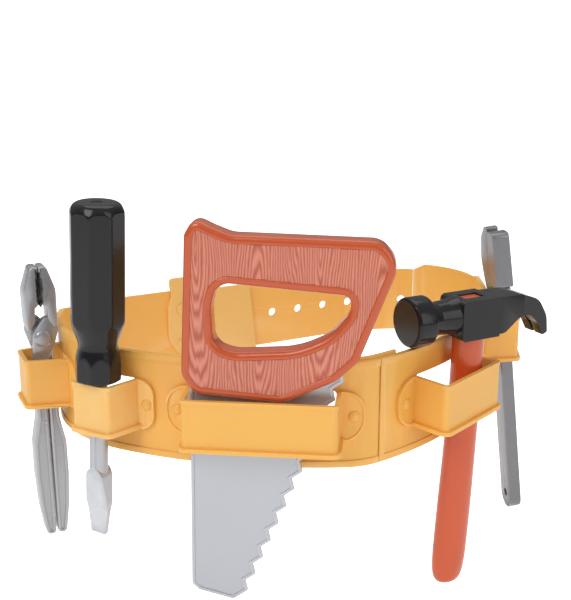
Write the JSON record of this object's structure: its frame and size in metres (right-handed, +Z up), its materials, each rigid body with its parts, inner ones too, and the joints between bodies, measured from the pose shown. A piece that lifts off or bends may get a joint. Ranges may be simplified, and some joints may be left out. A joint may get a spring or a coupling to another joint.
{
  "type": "toy tool belt",
  "caption": "Ring-shaped play tool belt of moulded panels with loops that hold a saw, hammer, screwdriver, pliers and wrench.",
  "frame": {"origin": "centre of the belt ring at the mid height of its panels", "axes": "+Z up as worn, -Y the belt's front with the saw, +X to the wearer's left"},
  "size_m": [0.3135, 0.2602, 0.2335],
  "materials": {
    "belt": "soft satin moulded plastic",
    "plate": "paler satin moulded plastic",
    "saw_grip": "glossy, moulded with wood grain",
    "silver": "silver-coloured plastic",
    "black": "glossy black plastic",
    "orange": "glossy orange-red plastic",
    "pliers_grey": "silver-grey plastic",
    "wrench_grey": "silver-grey plastic, dark edge"
  },
  "bodies": {
    "belt": {"left_belt_half": "belt", "right_belt_half": "belt", "seam_tab": "belt", "pliers_loop": "belt", "screwdriver_loop": "belt", "saw_loop": "belt", "hammer_loop": "belt", "wrench_loop": "belt", "pliers_loop_rivets": "belt", "screwdriver_loop_rivets": "belt", "saw_loop_rivets": "belt", "hammer_loop_rivets": "belt", "wrench_loop_rivets": "belt", "end_plate": "plate", "plate_rivets": "plate"},
    "tail": {"tail_strap": "belt"},
    "saw": {"saw_handle_front": "saw_grip", "saw_handle_back": "saw_grip", "saw_blade": "silver"},
    "screwdriver": {"screwdriver_handle": "black", "screwdriver_shaft": "silver"},
    "hammer": {"hammer_head": "black", "hammer_handle": "orange"},
    "pliers": {"pliers_half": "pliers_grey", "pliers_pivot": "pliers_grey"},
    "pliers_lever": {"pliers_lever": "pliers_grey"},
    "wrench": {"wrench_body": "wrench_grey"},
    "wrench_jaw": {"wrench_jaw": "wrench_grey"},
    "wrench_thumbscrew": {"wrench_thumbscrew": "wrench_grey"}
  },
  "joints": [
    {"name": "tail_open", "type": "hinge", "parent": "belt", "child": "tail", "pos_m": [0.09112, 0.11371, 0], "axis": [0, 0, -1], "range_deg": [0, 40]},
    {"name": "saw_lift", "type": "slide", "parent": "belt", "child": "saw", "axis": [0, 0, 1], "range_m": [0, 0.13]},
    {"name": "screwdriver_lift", "type": "slide", "parent": "belt", "child": "screwdriver", "axis": [0.0377, -0.0219, 0.999], "range_m": [0, 0.108]},
    {"name": "hammer_lift", "type": "slide", "parent": "belt", "child": "hammer", "axis": [0, 0, 1], "range_m": [0, 0.144]},
    {"name": "pliers_lift", "type": "slide", "parent": "belt", "child": "pliers", "axis": [-0.0161, -0.0068, 0.9998], "range_m": [0, 0.128]},
    {"name": "wrench_lift", "type": "slide", "parent": "belt", "child": "wrench", "axis": [-0.1116, -0.0192, 0.9936], "range_m": [0, 0.143]},
    {"name": "pliers_open", "type": "hinge", "parent": "pliers", "child": "pliers_lever", "pos_m": [-0.1399, -0.05504, 0.024], "axis": [-0.3878, 0.9218, 0], "range_deg": [0, 4.8]},
    {"name": "jaw_slide", "type": "slide", "parent": "wrench", "child": "wrench_jaw", "axis": [0.1699, -0.9855, 0], "range_m": [0, 0.008]},
    {"name": "thumbscrew_turn", "type": "hinge", "parent": "wrench", "child": "wrench_thumbscrew", "pos_m": [0.13672, 0.02761, 0.02325], "axis": [-0.1699, 0.9855, 0], "range_deg": [0, 970]}
  ],
  "couplings": [
    {"joint": "thumbscrew_turn", "follows": "jaw_slide", "rad_per_m": 2094.4}
  ]
}
